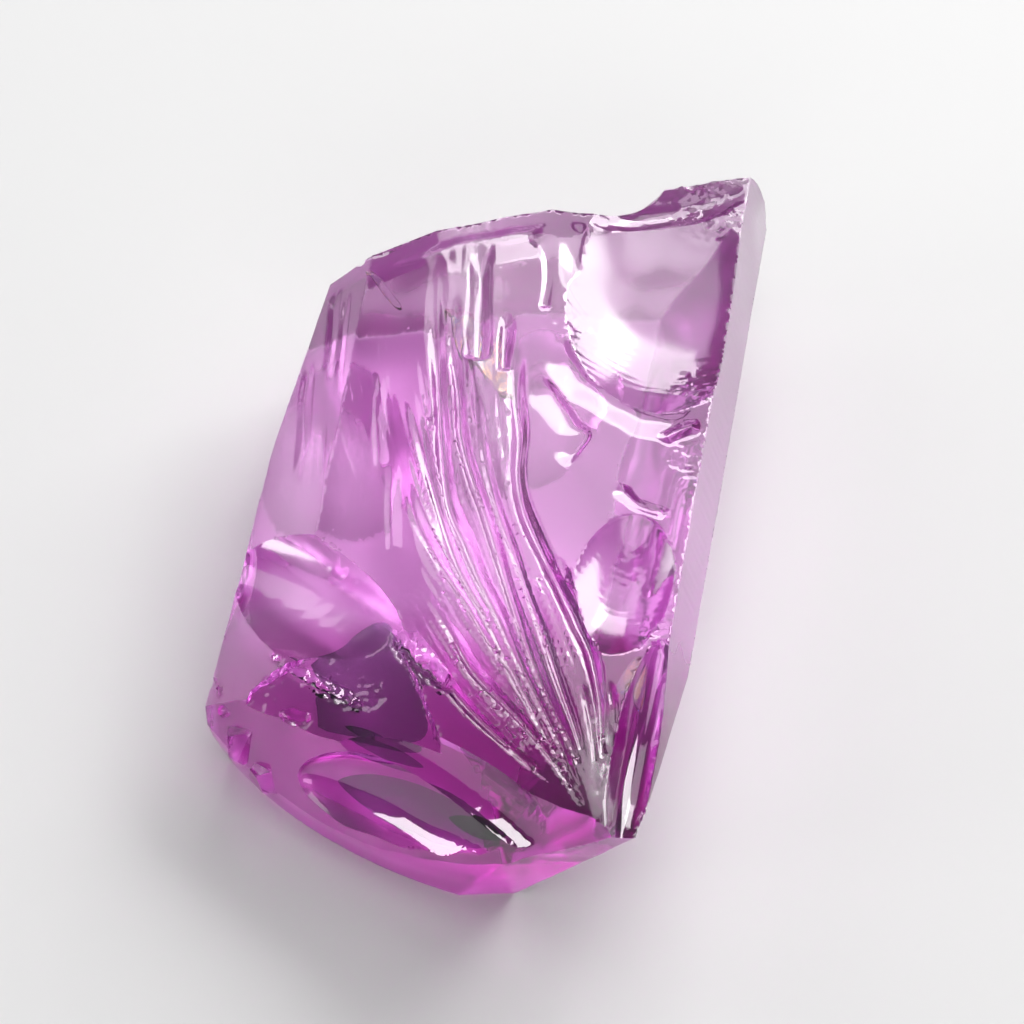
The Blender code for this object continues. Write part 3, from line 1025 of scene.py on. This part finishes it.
def sealed(middle, rim):
    """The rim, drawn in wherever it would come too near the crystal's surface."""
    share = np.ones(len(rim))
    for _ in range(SEAL_STEPS):
        near_surface = solid(middle + share[:, None] * (rim - middle)) > -SEAL_DEPTH
        share[near_surface] -= 1.0 / SEAL_STEPS
    return middle + share[:, None] * (rim - middle)


def build_lens(name, middle, rim, normal, thickness, waviness):
    """A thin closed lens, thickest in the middle."""
    rim = sealed(middle, rim)
    sheets = []
    for side in (1, -1):
        rows = []
        for ring in LENS_RINGS + (0.0,):
            row = middle + ring * (rim - middle) if ring else middle[None, :]
            lift = waviness * swell(row, 2.0, 151) + side * 0.5 * thickness * (1 - ring ** 2)
            rows.append(row + lift[:, None] * normal)
        sheets.append(rows)
    upper, lower = sheets[0], sheets[1][1:]
    first_lower = sum(len(row) for row in upper)
    count = len(rim)
    faces = lens_faces(count, 0, count, False) + lens_faces(count, 0, first_lower, True)
    lens = new_mesh_object(name, np.vstack(upper + lower), faces)
    lens.data.shade_smooth()
    return lens


def lens_faces(count, rim_start, next_start, turned):
    """Rings of quads from the rim inwards, and triangles to the middle."""
    starts = [rim_start] + [next_start + count * k for k in range(len(LENS_RINGS) - 1)]
    centre = next_start + count * (len(LENS_RINGS) - 1)
    faces = []
    turns = [(k, (k + 1) % count) for k in range(count)]
    for outer, inner in zip(starts, starts[1:]):
        faces += [(outer + k, outer + after, inner + after, inner + k) for k, after in turns]
    faces += [(starts[-1] + k, starts[-1] + after, centre) for k, after in turns]
    return [face[::-1] for face in faces] if turned else faces


# ---- materials

CRYSTAL_TINT = (1.0, 0.985, 1.0, 1.0)
CRYSTAL_IOR = 1.95
ABSORPTION_COLOUR = (0.925, 0.03, 0.9, 1.0)
ABSORPTION_DENSITY = 46.0

# A fully frosted surface is this rough and lets this share through. Up to CLOUDY_FROM all passes.
FROSTED_ROUGHNESS = 0.42
FROSTED_TRANSMISSION = 0.72
CLOUDY_FROM = 0.3


def new_material(name, values):
    """A Principled material with these values on its sockets."""
    material = bpy.data.materials.new(name)
    material.use_nodes = True
    set_inputs(material.node_tree.nodes["Principled BSDF"], values)
    return material


def set_inputs(node, values):
    for socket, value in values.items():
        node.inputs[socket].default_value = value


def fill(material, colour, density):
    """Makes what the piece encloses swallow light, all but this colour."""
    nodes, links = material.node_tree.nodes, material.node_tree.links
    absorption = nodes.new("ShaderNodeVolumeAbsorption")
    set_inputs(absorption, {"Color": colour, "Density": density})
    links.new(absorption.outputs["Volume"], nodes["Material Output"].inputs["Volume"])


def crystal_material():
    material = new_material("magenta_crystal", {"Base Color": CRYSTAL_TINT, "IOR": CRYSTAL_IOR})
    nodes, links = material.node_tree.nodes, material.node_tree.links
    frost = nodes.new("ShaderNodeAttribute")
    frost.attribute_name = "frost"
    rough = {"To Min": 0.0, "To Max": FROSTED_ROUGHNESS}
    cloudy = {"From Min": CLOUDY_FROM, "To Min": 1.0, "To Max": FROSTED_TRANSMISSION}
    for socket, mapping in (("Roughness", rough), ("Transmission Weight", cloudy)):
        mapped = nodes.new("ShaderNodeMapRange")
        set_inputs(mapped, mapping)
        links.new(frost.outputs["Fac"], mapped.inputs["Value"])
        links.new(mapped.outputs["Result"], nodes["Principled BSDF"].inputs[socket])
    fill(material, ABSORPTION_COLOUR, ABSORPTION_DENSITY)
    return material


# The looks of the cracks and of the films of painted reflection and shade: (IOR against the
# crystal, roughness, transmission, colour, thin film in nm)
LENS_LOOKS = {
    "crack": (0.86, 0.16, 0.92, (1.0, 0.97, 1.0, 1.0), 300.0),
    # Painted reflection: a grey film that darkens what is seen through it.
    "smoke": (0.97, 0.1, 1.0, (0.48, 0.5, 0.54, 1.0), 0.0),
    # Painted shade: a dark film that darkens what is seen through it.
    "soot": (0.92, 0.2, 1.0, (0.22, 0.18, 0.24, 1.0), 0.0),
}
FILM_IOR = 1.33
# Painted shade: the near end's zone absorbs more of the crystal's own colour.
NEAR_END_SHADE_COLOUR = (0.78, 0.02, 0.69, 1.0)
NEAR_END_SHADE_DENSITY = 190.0


def lens_material(name):
    ior, roughness, transmission, colour, film = LENS_LOOKS[name]
    return new_material(name, {
        "Base Color": colour, "IOR": ior, "Roughness": roughness,
        "Transmission Weight": transmission, "Thin Film Thickness": film, "Thin Film IOR": FILM_IOR,
    })


def near_end_shade_material():
    """Nothing at its border, and more of the same colour inside, which paints shade over the near
    end.
    """
    material = new_material("near_end_painted_shade", {
        "Base Color": (1, 1, 1, 1), "IOR": 1.0, "Roughness": 0.0, "Transmission Weight": 1.0,
    })
    fill(material, NEAR_END_SHADE_COLOUR, NEAR_END_SHADE_DENSITY)
    return material


# ---- floor, light and camera

# Metres from here on.
FLOOR_HALF_SIZE = 0.6
FLOOR_GAP = 0.00004
FLOOR_COLOUR = (0.82, 0.815, 0.81, 1.0)
FLOOR_ROUGHNESS = 0.9
FLOOR_SPECULAR = 0.1
VIEW_ELEVATION = 55.0
CAMERA_DISTANCE = 0.1422
CAMERA_TARGET = (0.000557, 0.00103, 0.0055)
CAMERA_LENS = 100.0
LIGHT_TARGET = (0.0, 0.0, 0.005)

# name: (azimuth, elevation, distance, width, height, brightness in W / (sr m2))
SOFTBOXES = {
    "right_back_box": (42.0, 34.0, 0.45, 0.3, 0.22, 6.5),
    "dish_box": (74.0, 38.0, 0.5, 0.28, 0.14, 5.0),
    "far_box": (80.0, 54.0, 0.5, 0.34, 0.22, 1.6),
    "left_low_box": (147.0, 11.0, 0.45, 0.2, 0.12, 1.0),
    "left_back_box": (150.0, 38.0, 0.45, 0.18, 0.14, 1.5),
    "overhead_box": (-60.0, 84.0, 0.6, 0.36, 0.36, 1.7),
    "front_box": (-86.0, 29.0, 0.5, 0.4, 0.14, 1.8),
    "end_box": (-164.0, 13.0, 0.45, 0.12, 0.11, 7.0),
}
WORLD_COLOUR = (0.8, 0.82, 0.86, 1.0)
WORLD_STRENGTH = 0.18


def build_floor():
    half, z = FLOOR_HALF_SIZE / MM, -FLOOR_GAP / MM
    corners = np.array([(-half, -half, z), (half, -half, z), (half, half, z), (-half, half, z)])
    floor = new_mesh_object("floor", corners, [(0, 1, 2, 3)])
    floor.data.materials.append(new_material("floor_paper", {
        "Base Color": FLOOR_COLOUR, "Roughness": FLOOR_ROUGHNESS,
        "Specular IOR Level": FLOOR_SPECULAR,
    }))


def aim(thing, position, target):
    thing.location = position
    thing.rotation_euler = (Vector(target) - Vector(position)).to_track_quat("-Z", "Y").to_euler()


def build_lights():
    for name, (azimuth, elevation, distance, width, height, brightness) in SOFTBOXES.items():
        light = bpy.data.lights.new(name, "AREA")
        light.shape = "RECTANGLE"
        light.size, light.size_y = width, height
        light.energy = brightness * math.pi * width * height
        aim(in_scene(name, light), unit(azimuth, elevation) * distance, LIGHT_TARGET)
    world = bpy.data.worlds.new("studio")
    world.use_nodes = True
    background = world.node_tree.nodes["Background"]
    set_inputs(background, {"Color": WORLD_COLOUR, "Strength": WORLD_STRENGTH})
    bpy.context.scene.world = world


def build_camera():
    camera = bpy.data.cameras.new("camera")
    camera.lens = CAMERA_LENS
    camera.clip_start = 0.005
    camera.clip_end = 10.0
    eye = in_scene("camera", camera)
    position = Vector(CAMERA_TARGET) + Vector(unit(-90.0, VIEW_ELEVATION) * CAMERA_DISTANCE)
    aim(eye, position, CAMERA_TARGET)
    bpy.context.scene.camera = eye


def set_light_paths():
    """Clear crystal needs long light paths."""
    cycles = bpy.context.scene.cycles
    cycles.blur_glossy = 0.0
    cycles.sample_clamp_indirect = 0.0
    cycles.max_bounces = 12
    cycles.glossy_bounces = 10
    cycles.transmission_bounces = 12
    cycles.adaptive_threshold = 0.05
    cycles.use_light_tree = False
    bpy.context.scene.view_settings.view_transform = "Standard"


def keep(piece, material):
    """Finishes one piece of the crystal: its material, and what it stands for."""
    piece.data.materials.append(material)
    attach(piece, "root")
    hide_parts("crystal")


build_camera()
keep(build_crystal(), crystal_material())
keep(build_near_end_shade(), near_end_shade_material())
looks = {name: lens_material(name) for name in LENS_LOOKS}
# The real cracks, and the films of painted reflection and shade.
for place, table in ((lens_below_top, TOP_SHADE_FILMS_AND_CRACKS), (film_behind_end, END_SHADE_FILMS)):
    for lens_name, (look, thickness, waviness, *where) in table.items():
        keep(build_lens(lens_name, *place(*where), thickness, waviness), looks[look])
build_floor()
build_lights()
set_light_paths()
